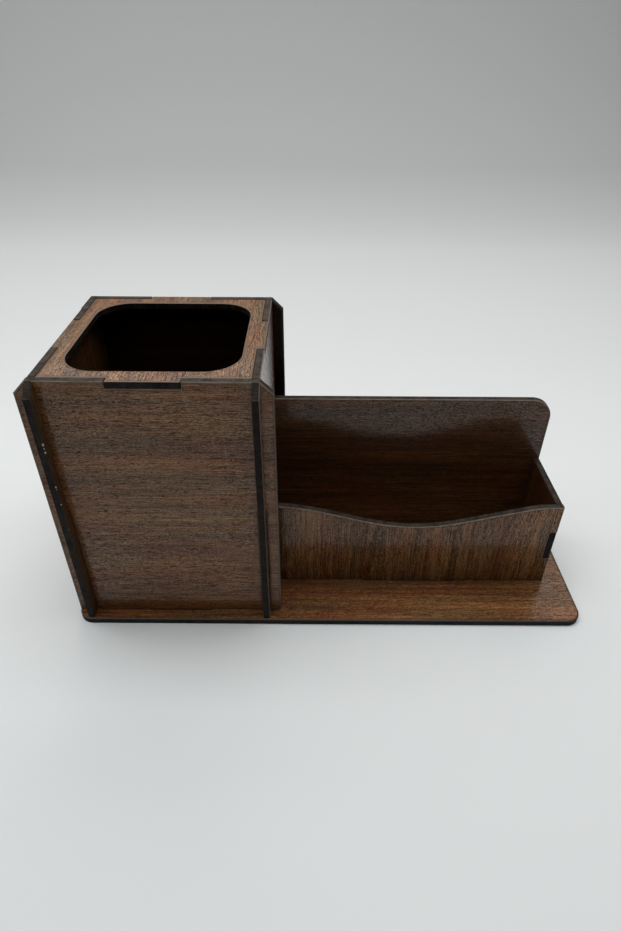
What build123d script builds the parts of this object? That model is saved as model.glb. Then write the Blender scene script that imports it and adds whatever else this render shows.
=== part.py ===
from build123d import *
import math
import os

# A desk pen holder cut flat from one board and slotted together.
# A square cup for pens stands on the left of the base plate and a low tray
# joins its right side. X runs along the holder to the right, Y to the back,
# Z up, and the origin is the middle of the base plate's underside.
# All sizes are in millimetres.

# Board and fits
sheet = 3.0              # thickness of the board that every piece is cut from
slot_clearance = 0.1     # gap on each face of a board that sits in a slot
tab_clearance = 0.25     # gap at each end of a tab in its notch or slot

# Cup
cup_width = 84.0         # across the outer faces of the side walls
cup_depth = 83.0         # across the outer faces of the front and back walls
cup_height = 120.0       # walls above the base plate
ear_length = 5.0         # each wall's run past the wall that it crosses
rim_ledge = 5.25         # rim plate's reach inwards from the walls' inner faces
rim_radius = 14.0        # corners of the mouth in the rim plate
rim_tab_length = 27.0    # tab in the middle of each side of the rim plate
wall_foot_length = 27.5  # tab under each wall of the cup

# Tray
tray_length = 133.0      # cup's wall to the outer face of the end panel
tray_inside = 36.25      # clear depth between the front and back panels
tray_setback = 19.5      # from the cup's front face back to the tray's
tray_height = 46.75      # front and end panels above the base plate
wave_dip = 12.0          # drop of the front panel's upper edge at its middle
back_height = 80.0       # back panel above the base plate
back_radius = 10.0       # free upper corner of the back panel
corner_tab_height = 15.5 # tabs at the upright edges of the front and end panels
back_tab_height = 26.5   # tab that joins the back panel to the cup
tray_foot_length = 44.0  # tab under the front and back panels
end_foot_length = 12.0   # tab under the end panel

# Base plate
end_margin = 11.5        # plate beyond the tray's end panel
edge_margin = 1.0        # plate beyond the side walls' ears, front and back
base_radius = 7.0        # corners in plan

# Levels and faces that several pieces share
base_top = sheet
wall_top = base_top + cup_height
crossing_height = base_top + cup_height / 2
tray_top = base_top + tray_height
back_top = base_top + back_height
foot_bottom = slot_clearance

base_width = ear_length + cup_width + tray_length + end_margin
base_depth = cup_depth + 2 * (ear_length + edge_margin)
cup_left = ear_length - base_width / 2
cup_right = cup_left + cup_width
cup_middle = (cup_left + cup_right) / 2
cup_front = -cup_depth / 2
cup_back = cup_depth / 2

tray_right = cup_right + tray_length
tray_middle = (cup_right + tray_right) / 2
tray_front = cup_front + tray_setback
tray_back_face = tray_front + sheet + tray_inside
tray_back = tray_back_face + sheet
tray_centre = (tray_front + tray_back) / 2
corner_tab_middle = base_top + tray_height / 2
back_tab_middle = base_top + back_height / 2


def block(left, right, low, high):
    """A rectangle between two limits each way."""
    centre = Pos((left + right) / 2, (low + high) / 2)
    return centre * Rectangle(right - left, high - low)


def span(middle, length):
    """The two ends of a tab of this length about its middle."""
    return middle - length / 2, middle + length / 2


def opening(middle, length):
    """The two ends of the notch or slot that takes such a tab."""
    return span(middle, length + 2 * tab_clearance)


def board_slot(face):
    """The two sides of a slot for a board whose lower face is at this place."""
    return face - slot_clearance, face + sheet + slot_clearance


def facing_front(outline, front_face):
    """A board standing along X: the outline is in X and Z."""
    return extrude(Plane.XZ.offset(-front_face) * outline, -sheet)


def facing_side(outline, left_face):
    """A board standing along Y: the outline is in Y and Z."""
    return extrude(Plane.YZ.offset(left_face) * outline, sheet)


def lying_flat(outline, underside):
    """A board lying flat: the outline is in X and Y."""
    return extrude(Plane.XY.offset(underside) * outline, sheet)


# Cup walls

def eared_wall(low_face, high_face):
    """A wall's blank: ears past both crossing walls, their tops cut at 45 degrees."""
    blank = block(low_face - ear_length, high_face + ear_length, base_top, wall_top)
    blank = chamfer(blank.vertices().group_by(Axis.Y)[-1], ear_length)
    middle = (low_face + high_face) / 2
    foot = block(*span(middle, wall_foot_length), foot_bottom, base_top)
    rim_notch = block(*opening(middle, rim_tab_length), wall_top - sheet, wall_top)
    return blank + foot - rim_notch


def cross_wall(front_face):
    """Front or back wall: slots from below ride over the side walls."""
    outline = eared_wall(cup_left, cup_right)
    slot_end = crossing_height + slot_clearance
    for face in (cup_left, cup_right - sheet):
        outline -= block(*board_slot(face), base_top, slot_end)
    return facing_front(outline, front_face)


def side_wall_outline():
    """Left or right wall: slots from above take the front and back walls."""
    outline = eared_wall(cup_front, cup_back)
    for face in (cup_front, cup_back - sheet):
        outline -= block(*board_slot(face), crossing_height, wall_top)
    return outline


def cup_left_wall():
    return facing_side(side_wall_outline(), cup_left)


def cup_right_wall():
    """The right wall also takes the tabs of the tray's front and back panels."""
    outline = side_wall_outline()
    outline -= block(*board_slot(tray_front), *opening(corner_tab_middle, corner_tab_height))
    outline -= block(*board_slot(tray_back_face), *opening(back_tab_middle, back_tab_height))
    return facing_side(outline, cup_right - sheet)


# Rim plate: dropped in between the walls, its tabs flush with their outer faces

def rim_plate():
    inset = sheet + slot_clearance
    outline = block(cup_left + inset, cup_right - inset, cup_front + inset, cup_back - inset)
    outline += block(cup_left, cup_right, *span(0, rim_tab_length))
    outline += block(*span(cup_middle, rim_tab_length), cup_front, cup_back)
    frame = 2 * (sheet + rim_ledge)
    mouth = RectangleRounded(cup_width - frame, cup_depth - frame, rim_radius)
    outline -= Pos(cup_middle, 0) * mouth
    return lying_flat(outline, wall_top - sheet)


# Tray panels

def wave_edge():
    """Upper edge of the front panel: one full wave, level at both ends and in the dip."""
    eighths = 8
    points = []
    for step in range(eighths + 1):
        along = step / eighths
        drop = wave_dip * (1 - math.cos(2 * math.pi * along)) / 2
        points.append((cup_right + along * tray_length, tray_top - drop))
    level = (1, 0)
    return Spline(*points, tangents=[level, level])


def with_joints(outline, tab_middle, tab_height):
    """Adds the cup tab and the foot, and cuts the notch for the end panel's tab."""
    cup_tab = block(cup_right - sheet, cup_right, *span(tab_middle, tab_height))
    foot = block(*span(tray_middle, tray_foot_length), foot_bottom, base_top)
    notch_depth = sheet + slot_clearance
    end_notch = block(tray_right - notch_depth, tray_right,
                      *opening(corner_tab_middle, corner_tab_height))
    return outline + cup_tab + foot - end_notch


def tray_front_panel():
    upright_edges = Polyline((cup_right, tray_top), (cup_right, base_top),
                             (tray_right, base_top), (tray_right, tray_top))
    outline = make_face([wave_edge(), upright_edges])
    outline = with_joints(outline, corner_tab_middle, corner_tab_height)
    return facing_front(outline, tray_front)


def tray_back_panel():
    outline = block(cup_right, tray_right, base_top, back_top)
    free_corner = outline.vertices().group_by(Axis.Y)[-1].sort_by(Axis.X)[-1]
    outline = fillet(free_corner, back_radius)
    outline = with_joints(outline, back_tab_middle, back_tab_height)
    return facing_front(outline, tray_back_face)


def tray_end_panel():
    """Stands between the front and back panels and shows a tab through each."""
    outline = block(tray_front + sheet, tray_back_face, base_top, tray_top)
    outline += block(tray_front, tray_back, *span(corner_tab_middle, corner_tab_height))
    outline += block(*span(tray_centre, end_foot_length), foot_bottom, base_top)
    return facing_side(outline, tray_right - sheet)


# Base plate: a slot for every foot

def base_plate():
    outline = RectangleRounded(base_width, base_depth, base_radius)
    for face in (cup_front, cup_back - sheet):
        outline -= block(*opening(cup_middle, wall_foot_length), *board_slot(face))
    for face in (cup_left, cup_right - sheet):
        outline -= block(*board_slot(face), *opening(0, wall_foot_length))
    for face in (tray_front, tray_back_face):
        outline -= block(*opening(tray_middle, tray_foot_length), *board_slot(face))
    end_face = tray_right - sheet
    outline -= block(*board_slot(end_face), *opening(tray_centre, end_foot_length))
    return lying_flat(outline, 0)


pieces = {
    "base_plate": base_plate(),
    "cup_front_wall": cross_wall(cup_front),
    "cup_back_wall": cross_wall(cup_back - sheet),
    "cup_left_wall": cup_left_wall(),
    "cup_right_wall": cup_right_wall(),
    "rim_plate": rim_plate(),
    "tray_front_panel": tray_front_panel(),
    "tray_back_panel": tray_back_panel(),
    "tray_end_panel": tray_end_panel(),
}

os.makedirs("parts", exist_ok=True)
for name, piece in pieces.items():
    piece.label = name
    export_step(piece, f"parts/{name}.step")
    size = piece.bounding_box().size
    print(f"{name}: {size.X:.1f} x {size.Y:.1f} x {size.Z:.1f} mm")
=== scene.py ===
# %% [markdown]
# # A pen holder cut from walnut-look board
# This lesson dresses a desk pen holder: a square cup for pens and a low open tray, slotted together from
# nine flat boards. The solid model gives every board its true outline and place. What is left for Blender
# is what the eye reads as a real cut sheet: the printed walnut film on both faces, the charred edges that
# the cutting beam leaves, the thin pale lip where film and edge meet, and soft light to show the sheen.

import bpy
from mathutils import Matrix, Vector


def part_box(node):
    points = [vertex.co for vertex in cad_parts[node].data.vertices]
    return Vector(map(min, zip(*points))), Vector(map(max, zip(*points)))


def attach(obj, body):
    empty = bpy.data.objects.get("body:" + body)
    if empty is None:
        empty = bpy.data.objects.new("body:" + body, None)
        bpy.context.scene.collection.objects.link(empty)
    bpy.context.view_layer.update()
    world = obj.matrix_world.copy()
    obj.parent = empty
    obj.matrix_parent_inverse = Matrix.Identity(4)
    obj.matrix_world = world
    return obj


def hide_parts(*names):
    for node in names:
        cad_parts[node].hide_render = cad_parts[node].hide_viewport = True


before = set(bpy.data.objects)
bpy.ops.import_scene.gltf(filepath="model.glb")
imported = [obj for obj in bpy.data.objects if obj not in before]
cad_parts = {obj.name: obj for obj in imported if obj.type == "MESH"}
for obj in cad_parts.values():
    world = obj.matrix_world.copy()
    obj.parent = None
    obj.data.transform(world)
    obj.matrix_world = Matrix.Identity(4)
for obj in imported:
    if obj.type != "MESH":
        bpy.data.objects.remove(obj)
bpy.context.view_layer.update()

# %% [markdown]
# ## The camera
# A product shot starts with the camera, because every later choice is judged through it. The holder was
# seen from in front and above, from close by, with the short lens of a phone. Place, tilt and lens were
# worked out by lining up the model's corners with the picture's, so they are set as plain numbers.

# %% Camera
import math

import bpy
from mathutils import Matrix, Vector

camera_place = (-0.0095, -0.2349, 0.2268)
camera_tilt = 54.08       # degrees up from looking straight down
camera_turn = 0.01        # degrees to the left
camera_roll = 0.36        # degrees about the line of sight
camera_lens = 23.72       # millimetres
sensor_side = 36          # millimetres along the image's longer side
nearest = 0.01            # metres: nothing closer than this is drawn

turned = (
    Matrix.Rotation(math.radians(camera_turn), 4, "Z")
    @ Matrix.Rotation(math.radians(camera_tilt), 4, "X")
    @ Matrix.Rotation(math.radians(camera_roll), 4, "Z")
)
bpy.ops.object.camera_add(location=camera_place, rotation=turned.to_euler())
camera = bpy.context.object
camera.name = "front_camera"
camera.data.sensor_width = sensor_side
camera.data.lens = camera_lens
camera.data.clip_start = nearest
bpy.context.scene.camera = camera
print("camera at", [round(1000 * x) for x in camera_place], "mm")

# %% [markdown]
# ## Writing shaders as sums
# Every finish below mixes a few noise patterns. Wiring Math nodes by hand hides the idea, so one small class
# wraps a socket and lets plain arithmetic add the nodes. Its method `add` makes any other node: it takes the
# node's type, the settings that go on the node itself, and what goes into its sockets.

# %% A socket that does arithmetic
class Wire:
    """One socket of a material's node tree."""

    def __init__(self, tree, socket=None):
        self.tree = tree
        self.socket = socket

    def add(self, kind, settings, inputs, output=0):
        """Adds a node, sets it up, feeds its sockets and returns one of its outputs."""
        node = self.tree.nodes.new(kind)
        for key, value in settings.items():
            if key == "stops":
                self.fill_ramp(node.color_ramp, value)
            else:
                setattr(node, key, value)
        for key, value in inputs.items():
            if isinstance(value, Wire):
                self.tree.links.new(value.socket, node.inputs[key])
            else:
                node.inputs[key].default_value = value
        return Wire(self.tree, node.outputs[output]) if node.outputs else None

    @staticmethod
    def fill_ramp(ramp, stops):
        while len(ramp.elements) < len(stops):
            ramp.elements.new(1.0)
        for element, (position, colour) in zip(ramp.elements, stops):
            element.position = position
            element.color = colour

    def math(self, operation, first, second):
        return self.add("ShaderNodeMath", {"operation": operation}, {0: first, 1: second})

    def __add__(self, other):
        return self.math("ADD", self, other)

    def __sub__(self, other):
        return self.math("SUBTRACT", self, other)

    def __rsub__(self, other):
        return self.math("SUBTRACT", other, self)

    def __mul__(self, other):
        return self.math("MULTIPLY", self, other)

    def __pow__(self, other):
        return self.math("POWER", self, other)

    __radd__ = __add__
    __rmul__ = __mul__


# %% Helpers that start, mix and close a finish
def new_finish(name):
    """An empty material, and a wire to add its nodes with."""
    finish = bpy.data.materials.new(name)
    finish.use_nodes = True
    finish.node_tree.nodes.clear()
    return finish, Wire(finish.node_tree)


def mix(bench, factor, first, second, blend="MIX"):
    """Two colours mixed by a factor."""
    factor_in, first_in, second_in, colour_out = 0, 6, 7, 2   # a Mix node's sockets for colours
    settings = {"data_type": "RGBA", "blend_type": blend, "clamp_factor": True}
    inputs = {factor_in: factor, first_in: first, second_in: second}
    return bench.add("ShaderNodeMix", settings, inputs, colour_out)


def smooth_step(bench, value, low, high):
    """0 below low, 1 above high and a soft rise between."""
    settings = {"interpolation_type": "SMOOTHSTEP"}
    inputs = {"Value": value, "From Min": low, "From Max": high}
    return bench.add("ShaderNodeMapRange", settings, inputs)


def at_least(least, value):
    """A factor that grows from least to 1 while the value grows from 0 to 1."""
    return least + (1 - least) * value


def close_finish(bench, colour, roughness, height, depth, **others):
    """The shader itself: colour, roughness and a bump of the given depth in metres."""
    bump = bench.add("ShaderNodeBump", {}, {"Strength": 1.0, "Distance": depth, "Height": height})
    inputs = {"Base Color": colour, "Roughness": roughness, "Normal": bump}
    for key, value in others.items():
        inputs[key.replace("_", " ")] = value
    shader = bench.add("ShaderNodeBsdfPrincipled", {}, inputs)
    bench.add("ShaderNodeOutputMaterial", {}, {"Surface": shader})


print("helpers for the finishes are ready")


# %% Helpers that read places and marks
def vectors(bench, operation, first, second, output="Vector"):
    return bench.add("ShaderNodeVectorMath", {"operation": operation}, {0: first, 1: second}, output)


def along_axis(bench, vector, axis):
    return bench.add("ShaderNodeSeparateXYZ", {}, {"Vector": vector}, axis)


def object_place(bench):
    return bench.add("ShaderNodeTexCoord", {}, {}, "Object")


def upward_share(bench):
    """1 where a face looks straight up, 0 where it stands and -1 where it looks down."""
    return along_axis(bench, bench.add("ShaderNodeNewGeometry", {}, {}, "True Normal"), "Z")


def point_mark(bench, name):
    """A number that was stored on the mesh's points."""
    return bench.add("ShaderNodeAttribute", {"attribute_name": name}, {}, "Fac")


def noise(bench, place, detail, scale=1.0, roughness=0.5, output=0):
    inputs = {"Vector": place, "Scale": scale, "Detail": detail, "Roughness": roughness}
    return bench.add("ShaderNodeTexNoise", {}, inputs, output)


print("helpers for places, marks and noise are ready")

# %% [markdown]
# ## The walnut film
# The board is fibreboard with a printed melamine film on both faces. The print copies straight-grained
# walnut: broad bands of tone, narrow streaks, fine fibres and thin dark lines, all drawn out along the
# grain. A noise pattern gets such a grain when its coordinates are squeezed along one direction, so each
# layer is one noise with its own length and width in millimetres. A slow sway bends all layers alike.

# %% Layers of the printed grain
millimetres = (1000.0, 1000.0, 1000.0)
grain_turn = {
    "X": (0.0, 0.0, 0.0),
    "Y": (0.0, 0.0, -math.pi / 2),
    "Z": (0.0, math.pi / 2, 0.0),
}
sway_size = (1 / 160, 1 / 40, 1 / 40)      # one wander in this many millimetres
sway_reach = (0.0, 1.6, 1.6)               # millimetres to each side
sway_octaves = 1
noise_middle = 0.5
grain_layers = {
    # name: length along the grain and width across it in millimetres, octaves
    "bands": (190, 13, 2),
    "streaks": (60, 1.6, 2),
    "lines": (30, 0.38, 1),
    "fibres": (8, 0.33, 2),
    "pores": (3.0, 0.34, 1),
    "grit": (0.9, 0.32, 1),
    "drift": (55, 9, 2),
}
grain_roughness = 0.55    # strength of each octave against the one before it


def grain_layer(bench, board, along, across, octaves):
    """Noise drawn out along the grain."""
    squeezed = vectors(bench, "MULTIPLY", board, (1 / along, 1 / across, 1 / across))
    return noise(bench, squeezed, octaves, roughness=grain_roughness)


def swaying_grain(bench, place, grain, shift):
    """Object coordinates in millimetres, turned so that X runs along the grain."""
    turn = {"Vector": place, "Location": shift, "Rotation": grain_turn[grain], "Scale": millimetres}
    board = bench.add("ShaderNodeMapping", {}, turn)
    slow = vectors(bench, "MULTIPLY", board, sway_size)
    sway = noise(bench, slow, sway_octaves, output="Color")
    sway = vectors(bench, "SUBTRACT", sway, [noise_middle] * 3)
    sway = vectors(bench, "MULTIPLY", sway, sway_reach)
    return vectors(bench, "ADD", board, sway)


print("layers of the print:", list(grain_layers))

# %% [markdown]
# ## The colour of the print
# A ramp turns the layers' sum into wood: from dark umber through walnut and chestnut to straw. One ramp
# alone looks like tinted grey, so a slow drift leads the hue from rosy to olive. Thin lines and pin knots
# come last, because a printer lays the dark ink on top.

# %% Colour of the print
broad_weights = {"bands": 0.7, "streaks": 0.6}
fine_weights = {"fibres": 0.75, "grit": 0.8}
umber = (0.050, 0.0190, 0.0070, 1.0)
walnut = (0.107, 0.0440, 0.0145, 1.0)
chestnut = (0.188, 0.0830, 0.0270, 1.0)
straw = (0.285, 0.1460, 0.0560, 1.0)
print_stops = [(0.06, umber), (0.42, walnut), (0.60, chestnut), (0.96, straw)]
rosy = (1.10, 0.94, 0.88, 1.0)
olive = (0.93, 1.04, 1.06, 1.0)
rosy_to_olive = (0.35, 0.65)     # noise values between which the hue turns
line_shade = (0.55, 0.47, 0.42, 1.0)
line_light = (1.45, 1.50, 1.50, 1.0)
line_depth = 0.8
dark_lines = (0.60, 0.70)        # noise values between which a dark line sets in
light_lines = (0.30, 0.40)       # and between which a light one ends


def weighted(layer, weights):
    """Ups and downs about zero of some layers together."""
    return sum(weight * (layer[key] - noise_middle) for key, weight in weights.items())


def printed_grain(bench, layer, tone, broad, fine):
    """Tone through a ramp of wood colours, a slow drift of hue, and thin dark and light lines."""
    shade = tone + broad * weighted(layer, broad_weights) + fine * weighted(layer, fine_weights)
    colour = bench.add("ShaderNodeValToRGB", {"stops": print_stops}, {"Fac": shade})
    hue = mix(bench, smooth_step(bench, layer["drift"], *rosy_to_olive), rosy, olive)
    colour = mix(bench, 1.0, colour, hue, "MULTIPLY")
    dark_line = smooth_step(bench, layer["lines"], *dark_lines)
    light_line = 1 - smooth_step(bench, layer["lines"], *light_lines)
    colour = mix(bench, line_depth * dark_line, colour, line_shade, "MULTIPLY")
    return mix(bench, line_depth * light_line, colour, line_light, "MULTIPLY")


print("print weights:", broad_weights, fine_weights)

# %% Pin knots
knot_brown = (0.016, 0.0085, 0.0050, 1.0)
knot_depth = 0.8
knot_core = 0.0003        # metres from a knot's middle where it is darkest
knot_rim = 0.0010         # and where it has faded out
knot_wobble = 0.0016      # metres by which the streaks push its border


def knot_marks(bench, place, layer, knots):
    """1 in the middle of each small dark pin knot, 0 away from them."""
    marks = 0.0
    for knot in knots:
        away = vectors(bench, "DISTANCE", place, knot, "Value")
        away = away + knot_wobble * (layer["streaks"] - noise_middle)
        marks = marks + (1 - smooth_step(bench, away, knot_core, knot_rim))
    return marks


print("a pin knot is", round(2000 * knot_rim, 1), "mm wide")

# %% [markdown]
# ## The sheen of the film
# By itself the print is dark and warm. What makes the boards look satin is the clear resin over it, which
# mirrors the pale table as a thin grey veil. The resin lies unevenly: it shines on the raised fibres and is
# missing in the pores, so the veil breaks up into fine dashes along the grain. In Blender that is a coat
# whose weight follows the same noises as the print. Near the cut the heat has dulled it. The boards' inward
# sides have hardly any, and there the print is painted dark: painted shade, darkest inside the cup.

# %% Resin coat
fibre_share = 0.3         # the raised fibres are a mix of these two layers
grit_share = 0.7
fibres_rise = (0.36, 0.64)         # values of that mix between which a fibre stands out
usual_resin = (0.1, 1.0)           # coat's weight in the hollows and on the raised fibres
pore_loss = 0.8
coat_roughness = 0.16
coat_bend = 1.6                    # refractive index of the resin


def resin_coat(bench, layer, pore, resin):
    """The coat's weight where nothing has dulled it."""
    fibres = fibre_share * layer["fibres"] + grit_share * layer["grit"]
    least, most = resin
    return (least + (most - least) * smooth_step(bench, fibres, *fibres_rise)) * (1 - pore_loss * pore)


print("coat from", usual_resin[0], "in the hollows to", usual_resin[1], "on the fibres")

# %% Walnut film
seed_steps = (310.0, 57.0, 23.0)   # millimetres between one board's print and the next
shortened = ("lines", "fibres")    # layers that a board can have shorter than the others
pores_open = (0.57, 0.68)          # noise values between which a pore opens
pore_shade = (0.50, 0.42, 0.37, 1.0)
smoke = (0.070, 0.050, 0.039, 1.0)
smoke_depth = 0.35
smoke_fall = 2.0                   # power by which the smoke falls off from the cut
# colour that inward sides are multiplied towards: painted shade
painted_shade_colour = (0.12, 0.10, 0.09, 1.0)
scorch_loss = 0.7                  # share of the coat that is lost beside the cut
knot_loss = 0.7                    # and in a knot
film_roughness = 0.42
pore_roughness = 0.15              # added in the pores
bare_gloss = 0.12                  # specular level of bare print and of char
relief_depth = 0.0001              # metres
grit_relief = 0.5
pore_relief = 0.6


def walnut_film(name, grain, seed, tone, broad=1.0, fine=1.0, resin=usual_resin, knots=(), stretch=1.0,
                satin=coat_roughness):
    """broad and fine are contrasts, stretch the length of fine grain, satin the coat's roughness."""
    finish, bench = new_finish(name)
    place = object_place(bench)
    board = swaying_grain(bench, place, grain, [seed * step for step in seed_steps])
    layer = {}
    for key, (along, across, octaves) in grain_layers.items():
        length = along * stretch if key in shortened else along
        layer[key] = grain_layer(bench, board, length, across, octaves)
    scorch = point_mark(bench, "scorch")
    reverse = point_mark(bench, "reverse")
    pore = smooth_step(bench, layer["pores"], *pores_open)
    marks = knot_marks(bench, place, layer, knots)

    colour = printed_grain(bench, layer, tone, broad, fine)
    colour = mix(bench, pore, colour, pore_shade, "MULTIPLY")
    colour = mix(bench, knot_depth * marks, colour, knot_brown)
    # Painted shade: inward sides are darkened here, and below they lose the same share of their coat.
    colour = mix(bench, reverse, colour, painted_shade_colour, "MULTIPLY")
    colour = mix(bench, smoke_depth * scorch ** smoke_fall, colour, smoke)

    coat = resin_coat(bench, layer, pore, resin)
    coat = coat * (1 - scorch_loss * scorch) * (1 - reverse) * (1 - knot_loss * marks)
    relief = grit_relief * layer["grit"] - pore_relief * pore
    roughness = film_roughness + pore_roughness * pore
    close_finish(bench, colour, roughness, relief, relief_depth, Specular_IOR_Level=bare_gloss,
                 Coat_Weight=coat, Coat_Roughness=satin, Coat_IOR=coat_bend)
    return finish


print("prints lie", seed_steps, "mm apart")

# %% [markdown]
# ## Charred edges
# The cutting beam burns the fibreboard core to a dull brown-black and leaves fine lines across the board's
# thickness. The lines are noise with the thickness taken out of its coordinates, so it can't change from
# one face to the other. Edges that look up are painted a paler brown, partly wear and partly painted sheen
# from the light above. Low edges get less of it, which is painted shade, so the top of the cup is palest.

# %% Worn edges with painted sheen
looks_up = (0.4, 1.0)     # share of the direction that points up, from no paling to the most
least_paled = 0.1        # on soot
paled_more = 0.8         # added on burnt fibre
low_edge_sheen = 0.45           # share of the paling that low edges keep; the loss is painted shade
sheen_heights = (0.085, 0.118)      # metres between which it grows


def wear_and_sheen(bench, place, burn):
    """How far an edge is paled, by being worn and by painted sheen: only where it looks up, and more on top
    of the cup.
    """
    paled = smooth_step(bench, upward_share(bench), *looks_up) * (least_paled + paled_more * burn)
    height_sheen = smooth_step(bench, along_axis(bench, place, "Z"), *sheen_heights)
    return paled * at_least(low_edge_sheen, height_sheen)


print("rubbing grows between", [round(1000 * height) for height in sheen_heights], "mm up")

# %% Charred edge
soot = (0.0050, 0.0043, 0.0040, 1.0)
burnt_fibre = (0.024, 0.0182, 0.0148, 1.0)
sheen_worn_edge = (0.073, 0.053, 0.038, 1.0)
beam_step = 0.0005        # metres between the beam's lines
beam_detail = 2.0
beam_depth = 0.00004      # metres
char_scale = 260.0        # patches to the metre
char_detail = 4.0
char_share = 0.55         # the burn is a mix of patches and lines
beam_share = 0.45
burn_range = (0.36, 0.64)          # values of that mix between soot and burnt fibre
edge_roughness = 0.62
roughness_swing = 0.2


def charred_edge(name, thin):
    """thin is the axis along which the board is thin: 0, 1 or 2."""
    finish, bench = new_finish(name)
    place = object_place(bench)
    across = [0.0 if axis == thin else 1 / beam_step for axis in range(3)]
    lines = noise(bench, vectors(bench, "MULTIPLY", place, across), beam_detail)
    patches = noise(bench, place, char_detail, char_scale)
    burn = smooth_step(bench, char_share * patches + beam_share * lines, *burn_range)
    colour = mix(bench, burn, soot, burnt_fibre)
    # Edges that look up are painted paler here: worn, and painted sheen from above, with painted shade low
    # down.
    colour = mix(bench, wear_and_sheen(bench, place, burn), colour, sheen_worn_edge)
    roughness = edge_roughness + roughness_swing * (lines - noise_middle)
    close_finish(bench, colour, roughness, lines, beam_depth, Specular_IOR_Level=bare_gloss)
    return finish


edges = [charred_edge(f"charred_edge_{axis}", thin) for thin, axis in enumerate("xyz")]
print("edge finishes:", [finish.name for finish in edges])

# %% [markdown]
# ## The pale lip
# Where the film ends, heat has pressed and bleached its very border. That lip is a narrow slope with a
# finish of its own: along upper borders it is painted pale, a painted highlight for the light it catches,
# and on upright ones it hardly shows. The share of the face's direction that points up tells the two apart.
# Below about 30 mm up the lips keep their dark colour.

# %% Lip of the film
pale_highlight_lip = (0.240, 0.196, 0.160, 1.0)
rosy_highlight_lip = (0.150, 0.100, 0.064, 1.0)
tan_lip = (0.106, 0.079, 0.060, 1.0)
brown_lip = (0.045, 0.029, 0.019, 1.0)
low_dark_heights = (0.030, 0.036)     # metres between which the lips' dark lower part ends
lip_looks_up = (0.1, 0.4)          # share of the direction that points up, from dark to painted highlight
lip_patch_scale = 330.0            # patches to the metre
lip_patch_detail = 3.0
lip_patch_range = (0.34, 0.60)
least_bleach_highlight = 0.5
lip_roughness = 0.45
lip_depth = 0.00002                # metres
lip_gloss = 0.35


def film_lip(name, light, dark):
    """light, a painted highlight, on borders that look up, dark on the others, in soft patches."""
    finish, bench = new_finish(name)
    place = object_place(bench)
    patches = noise(bench, place, lip_patch_detail, lip_patch_scale)
    # Borders that look up get the light colour: bleach and a painted highlight.
    bleach_highlight = smooth_step(bench, upward_share(bench), *lip_looks_up)
    bleach_highlight = bleach_highlight * at_least(least_bleach_highlight, smooth_step(bench, patches, *lip_patch_range))
    bleach_highlight = bleach_highlight * smooth_step(bench, along_axis(bench, place, "Z"), *low_dark_heights)
    colour = mix(bench, bleach_highlight, dark, light)
    roughness = lip_roughness + roughness_swing * (patches - noise_middle)
    close_finish(bench, colour, roughness, patches, lip_depth, Specular_IOR_Level=lip_gloss)
    return finish


lips = {
    "bleached_highlit": film_lip("highlit_bleached_lip", pale_highlight_lip, tan_lip),
    "rosy": film_lip("rosy_highlight_lip", rosy_highlight_lip, tan_lip),
    "browned": film_lip("browned_lip", brown_lip, burnt_fibre),
}
print("lip finishes:", list(lips))

# %% [markdown]
# ## From solid to cut board
# All nine boards are made the same way, so a few functions do it. They could redraw each outline from a
# plane, but the solid model already holds the exact cut, so a board starts as a copy of it. The copy's loose
# triangles are welded and its flat faces made whole. Then the board is thinned by the drop of its lips, and
# its broad faces are inset and raised to full thickness again, which leaves a sloping lip along the cut. A
# second inset marks where the heat shows.

# %% A welded copy
weld_distance = 1e-6      # metres
flat_angle = 0.3          # degrees: faces that turn less than this become one


def select_only(piece):
    bpy.ops.object.select_all(action="DESELECT")
    piece.select_set(True)
    bpy.context.view_layer.objects.active = piece


def welded_copy(node, name):
    piece = bpy.data.objects.new(name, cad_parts[node].data.copy())
    bpy.context.scene.collection.objects.link(piece)
    piece.data.materials.clear()
    select_only(piece)
    bpy.ops.mesh.customdata_custom_splitnormals_clear()
    bpy.ops.object.mode_set(mode="EDIT")
    bpy.ops.mesh.select_all(action="SELECT")
    bpy.ops.mesh.remove_doubles(threshold=weld_distance)
    bpy.ops.mesh.dissolve_limited(angle_limit=math.radians(flat_angle))
    bpy.ops.object.mode_set(mode="OBJECT")
    return piece


print("boards to cut:", len(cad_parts))

# %% Lips along the cut
import bmesh

lip_run = 0.0005          # width of the lip on the broad face, in metres
lip_drop = 0.00025        # its fall towards the cut
lip_rise = lip_drop - 1e-7   # a hair less, so that rounding can't pass the solid's box
scorch_width = 0.0011     # ring beside the lip where the film is stained
flat_enough = 0.98        # share of a unit normal that marks a broad face
box_ends = (0, 6)         # lowest and highest corner of an object's box


def thin_board(piece, inward):
    """Takes the drop of both lips off the board's thickness."""
    low, high = (Vector(piece.bound_box[corner]) for corner in box_ends)
    thickness = abs((high - low).dot(inward))
    share = 1 - 2 * lip_drop / thickness
    size = [share if part else 1.0 for part in inward]
    bpy.ops.object.mode_set(mode="EDIT")
    bpy.ops.mesh.select_all(action="SELECT")
    bpy.ops.transform.resize(value=size, center_override=(low + high) / 2)
    bpy.ops.object.mode_set(mode="OBJECT")


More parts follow.
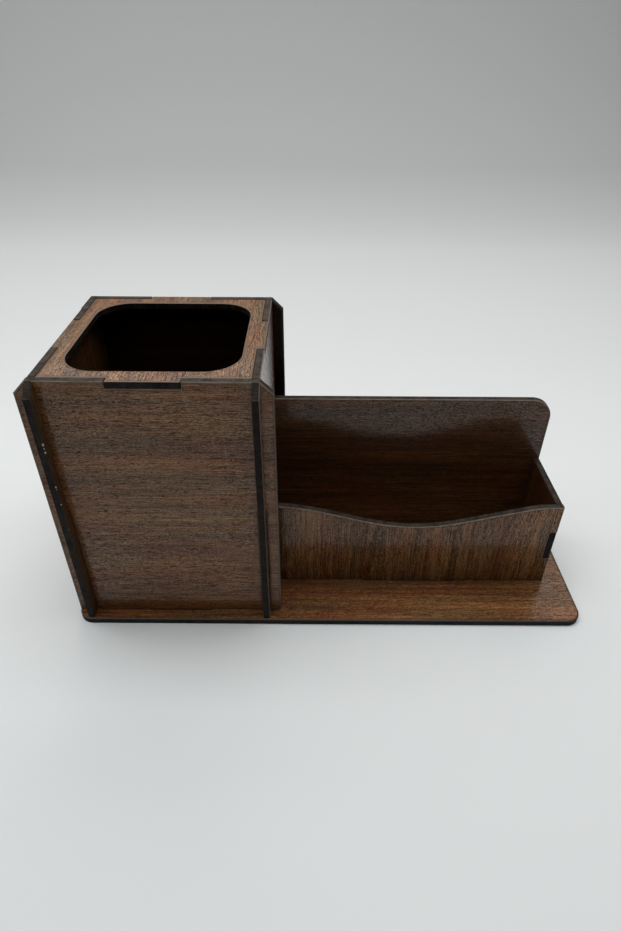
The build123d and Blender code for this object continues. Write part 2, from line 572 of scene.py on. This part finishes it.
def raise_faces(piece, inward):
    """Insets the broad faces twice: up the lip, then past the ring that the heat has stained."""
    bpy.ops.object.mode_set(mode="EDIT")
    bpy.ops.mesh.select_mode(type="FACE")
    bpy.ops.mesh.select_all(action="DESELECT")
    mesh = bmesh.from_edit_mesh(piece.data)
    for face in mesh.faces:
        face.select_set(abs(face.normal.dot(inward)) > flat_enough)
    bmesh.update_edit_mesh(piece.data)
    bpy.ops.mesh.inset(thickness=lip_run, depth=lip_rise, use_even_offset=True, use_boundary=True)
    bpy.ops.mesh.inset(thickness=scorch_width, use_even_offset=True, use_boundary=True)
    bpy.ops.object.mode_set(mode="OBJECT")
    inside = {point for face in piece.data.polygons if face.select for point in face.vertices}
    scorch = piece.data.attributes.new("scorch", "FLOAT", "POINT")
    for point in range(len(piece.data.vertices)):
        scorch.data[point].value = 0.0 if point in inside else 1.0


print("lips are", 1000 * lip_run, "mm wide and", 1000 * lip_drop, "mm deep")

# %% [markdown]
# ## A finish for every face
# Each face takes its finish from the way it looks: film on the broad faces, char on the cut, lip on the
# slope. The side that looks into the holder or down gets painted shade: darker and with less coat. It has
# the same material, and a number on its points tells the shader how much shade, so no second film is needed.

# %% Dress a board
cut_enough = 0.2          # share of a unit normal below which a face belongs to the cut
smooth_below = 20         # degrees; lips and the ears' corners stay sharp
usual_painted_shade = 0.7        # how much painted shade most inward sides take
film_slot, edge_slot, lip_slot, reverse_lip_slot = range(4)


def dress_board(piece, inward, film, edge, lip, painted_shade):
    """Gives each face its finish and marks the points of the inward side with their painted shade."""
    for finish in (film, edge, lip, lips["browned"]):
        piece.data.materials.append(finish)
    reverse = piece.data.attributes.new("reverse", "FLOAT", "POINT")
    for face in piece.data.polygons:
        facing = face.normal.dot(inward)
        if facing > flat_enough:
            for point in face.vertices:
                reverse.data[point].value = painted_shade
        if abs(facing) > flat_enough:
            face.material_index = film_slot
        elif abs(facing) < cut_enough:
            face.material_index = edge_slot
        else:
            face.material_index = lip_slot if facing < 0 else reverse_lip_slot


def cut_board(node, inward, lip="bleached_highlit", painted_shade=usual_painted_shade, **look):
    """A finished board that stands for its solid; inward is where its back face looks, such as -Y."""
    sign, letter = inward
    axis = "XYZ".index(letter)
    direction = Vector((0.0, 0.0, 0.0))
    direction[axis] = -1.0 if sign == "-" else 1.0
    piece = welded_copy(node, node + "_board")
    thin_board(piece, direction)
    raise_faces(piece, direction)
    film = walnut_film("walnut_" + node, **look)
    dress_board(piece, direction, film, edges[axis], lips[lip], painted_shade)
    select_only(piece)
    bpy.ops.object.shade_smooth_by_angle(angle=math.radians(smooth_below))
    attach(piece, "root")
    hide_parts(node)
    print(piece.name, "has", len(piece.data.polygons), "faces")
    return piece


# %% [markdown]
# ## The base plate
# One board with rounded corners carries everything. Its grain runs along the holder, and in front of the
# tray it is the warmest-looking piece, because there it mirrors dark boards and not the pale table. Its coat
# is thinner and a little rougher than that of the walls, which keeps the lamps' mirror images soft.

# %% Base plate
cut_board("base_plate", "-Z", "browned", grain="X", seed=120, tone=0.483, broad=1.2, fine=1.5,
          resin=(0.16, 0.56), stretch=0.5, satin=0.20)

# %% [markdown]
# ## The crossed walls of the cup
# Four walls cross near their ends like the sign for a number. The front and back walls have level grain, the
# side walls upright grain. Two pin knots are part of the print on the front wall, and they are placed on the
# front face by their distance along and above the base. The back wall's inside takes all the painted shade.

# %% Cup walls
front_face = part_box("cup_front_wall")[0].y
pin_knots = [(-0.0985, front_face, 0.0925), (-0.0938, front_face, 0.0630)]
# Painted shade on the inward sides: all of it on the back wall, 0.55 on the left wall, 0.7 on the others.
cut_board("cup_front_wall", "+Y", grain="X", seed=122, tone=0.535, broad=0.9, fine=1.1, knots=pin_knots)
cut_board("cup_back_wall", "-Y", painted_shade=1.0, grain="X", seed=1, tone=0.30)
left_board = cut_board("cup_left_wall", "+X", painted_shade=0.55, grain="Z", seed=3, tone=0.51)
cut_board("cup_right_wall", "-X", grain="Z", seed=4, tone=0.45, resin=(0.5, 1.0), satin=0.20)

# %% [markdown]
# ## Dried glue
# The boards are glued, and a few beads have dried white on the inner border of the left wall's front ear.
# One bead is modelled: an icosphere with its points shaken a little and smoothed again, so that it looks
# like a crumb. Copies in several sizes are set at the heights where the real ones sit and joined to the
# board.

# %% Glue
glue_white = (0.56, 0.52, 0.45, 1.0)
glue_shade = (0.30, 0.27, 0.22, 1.0)
crust_scale = 2500.0      # grains to the metre
crust_detail = 2.0
crust_depth = 0.00005     # metres
glue_roughness = 0.45
crust_roughness = 0.2

glue, bench = new_finish("dried_glue")
crust = noise(bench, object_place(bench), crust_detail, crust_scale)
glue_colour = mix(bench, crust, glue_shade, glue_white)
close_finish(bench, glue_colour, glue_roughness + crust_roughness * crust, crust, crust_depth)
print("finish:", glue.name)

# %% One glue bead
bead_size = 0.00036       # metres: half its length
bead_shake = 0.4          # share of that by which a point moves

bpy.ops.object.select_all(action="DESELECT")
bpy.ops.mesh.primitive_ico_sphere_add(subdivisions=3, radius=bead_size)
bead = bpy.context.object
bead.name = "glue_bead"
bpy.ops.object.mode_set(mode="EDIT")
bpy.ops.mesh.select_all(action="SELECT")
bpy.ops.transform.vertex_random(offset=bead_shake * bead_size, seed=4)
bpy.ops.mesh.vertices_smooth(factor=0.5, repeat=3)
bpy.ops.object.mode_set(mode="OBJECT")
bpy.ops.object.shade_smooth()
bead.data.materials.append(glue)
print("bead has", len(bead.data.polygons), "faces")

# %% Beads on the left ear
bead_spots = {98.9: 1.5, 97.1: 0.8, 95.3: 1.3, 79.0: 1.1, 77.8: 0.6, 70.2: 0.7, 57.0: 0.6}   # mm up: size
bead_sink = 0.0001        # metres from the ear's border to a bead's middle
bead_width = 0.8
bead_height = 1.2

left_low, left_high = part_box("cup_left_wall")
beads = [bead]
while len(beads) < len(bead_spots):
    select_only(bead)
    bpy.ops.object.duplicate()
    beads.append(bpy.context.object)
for piece, (height, size) in zip(beads, bead_spots.items()):
    piece.location = (left_high.x - bead_sink, left_low.y + bead_sink, height / 1000)
    piece.rotation_euler = (0.0, 0.0, height)   # any turn will do, so that each shows another side
    piece.scale = (bead_width * size, bead_width * size, bead_height * size)
select_only(left_board)
for piece in beads:
    piece.select_set(True)
bpy.ops.object.join()
print(left_board.name, "has", len(left_board.data.polygons), "faces with", len(bead_spots), "beads")

# %% [markdown]
# ## The rim plate
# The rim closes the top of the cup and stops the walls from spreading. Its grain runs from front to back,
# across that of the wall below it. It mirrors the bright paper behind, so its print needs the most contrast.

# %% Rim plate
cut_board("rim_plate", "-Z", "rosy", grain="Y", seed=25, tone=0.50, broad=1.45, fine=2.4)

# %% [markdown]
# ## The tray
# The front panel's upper edge is one long wave, so its charred edge shows as a dark ribbon. Its grain stands
# upright, that of the back panel lies level. The back panel has the same film on both sides, because its
# rear shows on a desk, so it gets no painted shade.

# %% Tray panels
# Painted shade on the inward sides: none on the back panel's rear, 0.85 in the end panel, 0.7 on the front
# panel.
cut_board("tray_front_panel", "+Y", grain="Z", seed=8, tone=0.49, broad=1.6, fine=2.0)
cut_board("tray_back_panel", "+Y", painted_shade=0.0, grain="X", seed=206, tone=0.30, broad=1.15)
cut_board("tray_end_panel", "-X", painted_shade=0.85, grain="Z", seed=7, tone=0.56)

# %% [markdown]
# ## The stage
# Pale paper lies under the holder and curves up all around it. Its colour is painted darker the further it
# runs back and up, painted shade where the light falls off, and a little darker just in front of the holder,
# a painted shadow. A plane is set at the height of the paper's upper border and its face is pushed down to
# the table, which leaves walls on all four sides. Then the bends are rounded, so that no line shows between
# floor and wall. Outside the picture the paper is dim, because the light that it throws back would wash out
# the shadows.

# %% Paper bowl
floor_width = 3.2         # metres
floor_front = -1.6
floor_back = 0.98
wall_height = 1.6
bend_radius = 0.45
bend_steps = 24
near_floor = 0.01

bpy.ops.object.select_all(action="DESELECT")
bpy.ops.mesh.primitive_plane_add(size=1, location=(0, (floor_front + floor_back) / 2, wall_height))
bowl = bpy.context.object
bowl.name = "paper_bowl"
bowl.scale = (floor_width, floor_back - floor_front, 1)
bpy.ops.object.transform_apply(location=True, rotation=True, scale=True)

bpy.ops.object.mode_set(mode="EDIT")
bpy.ops.mesh.select_all(action="SELECT")
bpy.ops.mesh.extrude_region_move(TRANSFORM_OT_translate={"value": (0, 0, -wall_height)})
bpy.ops.mesh.select_mode(type="EDGE")
bpy.ops.mesh.select_all(action="DESELECT")
mesh = bmesh.from_edit_mesh(bowl.data)
for edge in mesh.edges:
    edge.select_set(any(point.co.z < near_floor for point in edge.verts))
bmesh.update_edit_mesh(bowl.data)
bpy.ops.mesh.bevel(offset=bend_radius, segments=bend_steps, affect="EDGES")
bpy.ops.object.mode_set(mode="OBJECT")
bpy.ops.object.shade_smooth()
print("bowl has", len(bowl.data.polygons), "faces")

# %% Graded paper with painted shade
dim_paper = (0.16, 0.16, 0.16, 1.0)
picture_middle = (0.0, 0.35, 0.0)
dim_start = 0.9           # metres from there
dim_end = 1.4
paper_grey = (0.710, 0.730, 0.735)
paper_roughness = 0.6
tooth_scale = 900.0       # bumps to the metre
tooth_detail = 2.0
tooth_depth = 0.00001     # metres
grade_start = -0.2        # metres back from the holder's middle
grade_span = 1.2
paper_shade_grades = {          # metres back and up: share of the grey; its falls are painted shade and, in front, a painted shadow
    -0.19: 0.91, -0.03: 1.0, 0.08: 1.0, 0.25: 0.92, 0.53: 0.87, 0.66: 0.74, 0.80: 0.63, 1.0: 0.62,
}

paper, bench = new_finish("matt_paper")
place = object_place(bench)
stops = []
for run, share in paper_shade_grades.items():
    stops.append(((run - grade_start) / grade_span, [share * part for part in paper_grey] + [1.0]))
back_and_up = along_axis(bench, place, "Y") + along_axis(bench, place, "Z")
along_paper = (back_and_up - grade_start) * (1 / grade_span)
# Painted shade on the paper: darker to the back and up, a little darker just in front.
paper_colour = bench.add("ShaderNodeValToRGB", {"stops": stops}, {"Fac": along_paper})
away = vectors(bench, "DISTANCE", place, picture_middle, "Value")
paper_colour = mix(bench, smooth_step(bench, away, dim_start, dim_end), paper_colour, dim_paper)
tooth = noise(bench, place, tooth_detail, tooth_scale)
close_finish(bench, paper_colour, paper_roughness, tooth, tooth_depth)
bowl.data.materials.append(paper)
print("paper grades:", paper_shade_grades)

# %% [markdown]
# ## The light
# The light is soft and comes mostly from above and a little behind, so the cup's shadow falls towards the
# camera. A lamp overhead does that, with a weaker one further forward. Two slightly warm lamps behind are
# mirrored in the rim and the base, and one on the left brightens that end. The paper all around throws back
# enough light to fill the shadows, so the even surround is very dim; with the painted shade on the boards'
# inward sides, the cup's inside is almost black.

# %% Lamps
cool_white = (0.99, 1.0, 1.0)
warm_white = (1.0, 0.965, 0.92)
lamps = {
    # name: place, turn in degrees, width and depth, watts, colour
    "overhead": ((0.0, 0.12, 1.0), (0, 0, 0), (1.5, 0.38), 6.9, cool_white),
    "overhead_front": ((0.0, -0.32, 1.0), (0, 0, 0), (1.5, 0.5), 3.4, cool_white),
    "left": ((-0.9, 0.1, 0.80), (0, -65, 0), (0.5, 1.2), 3.0, cool_white),
    "back_high": ((0.0, 0.80, 1.05), (-48, 0, 0), (1.6, 0.5), 4.4, warm_white),
    "back_low": ((0.0, 0.90, 0.70), (-78, 0, 0), (1.6, 0.24), 1.45, warm_white),
}

for name, (spot, turn, size, watts, tint) in lamps.items():
    bpy.ops.object.light_add(type="AREA", location=spot, rotation=[math.radians(angle) for angle in turn])
    lamp = bpy.context.object
    lamp.name = name
    lamp.data.shape = "RECTANGLE"
    lamp.data.size, lamp.data.size_y = size
    lamp.data.energy = watts
    lamp.data.color = tint
print("lamps:", list(lamps))

# %% Surround
surround_colour = (0.97, 0.985, 1.0, 1.0)
surround_strength = 0.005

world = bpy.data.worlds.new("pale_room")
bpy.context.scene.world = world
world.use_nodes = True
background = world.node_tree.nodes["Background"]
background.inputs["Color"].default_value = surround_colour
background.inputs["Strength"].default_value = surround_strength
bpy.context.scene.view_settings.view_transform = "Standard"
print("surround:", surround_strength)
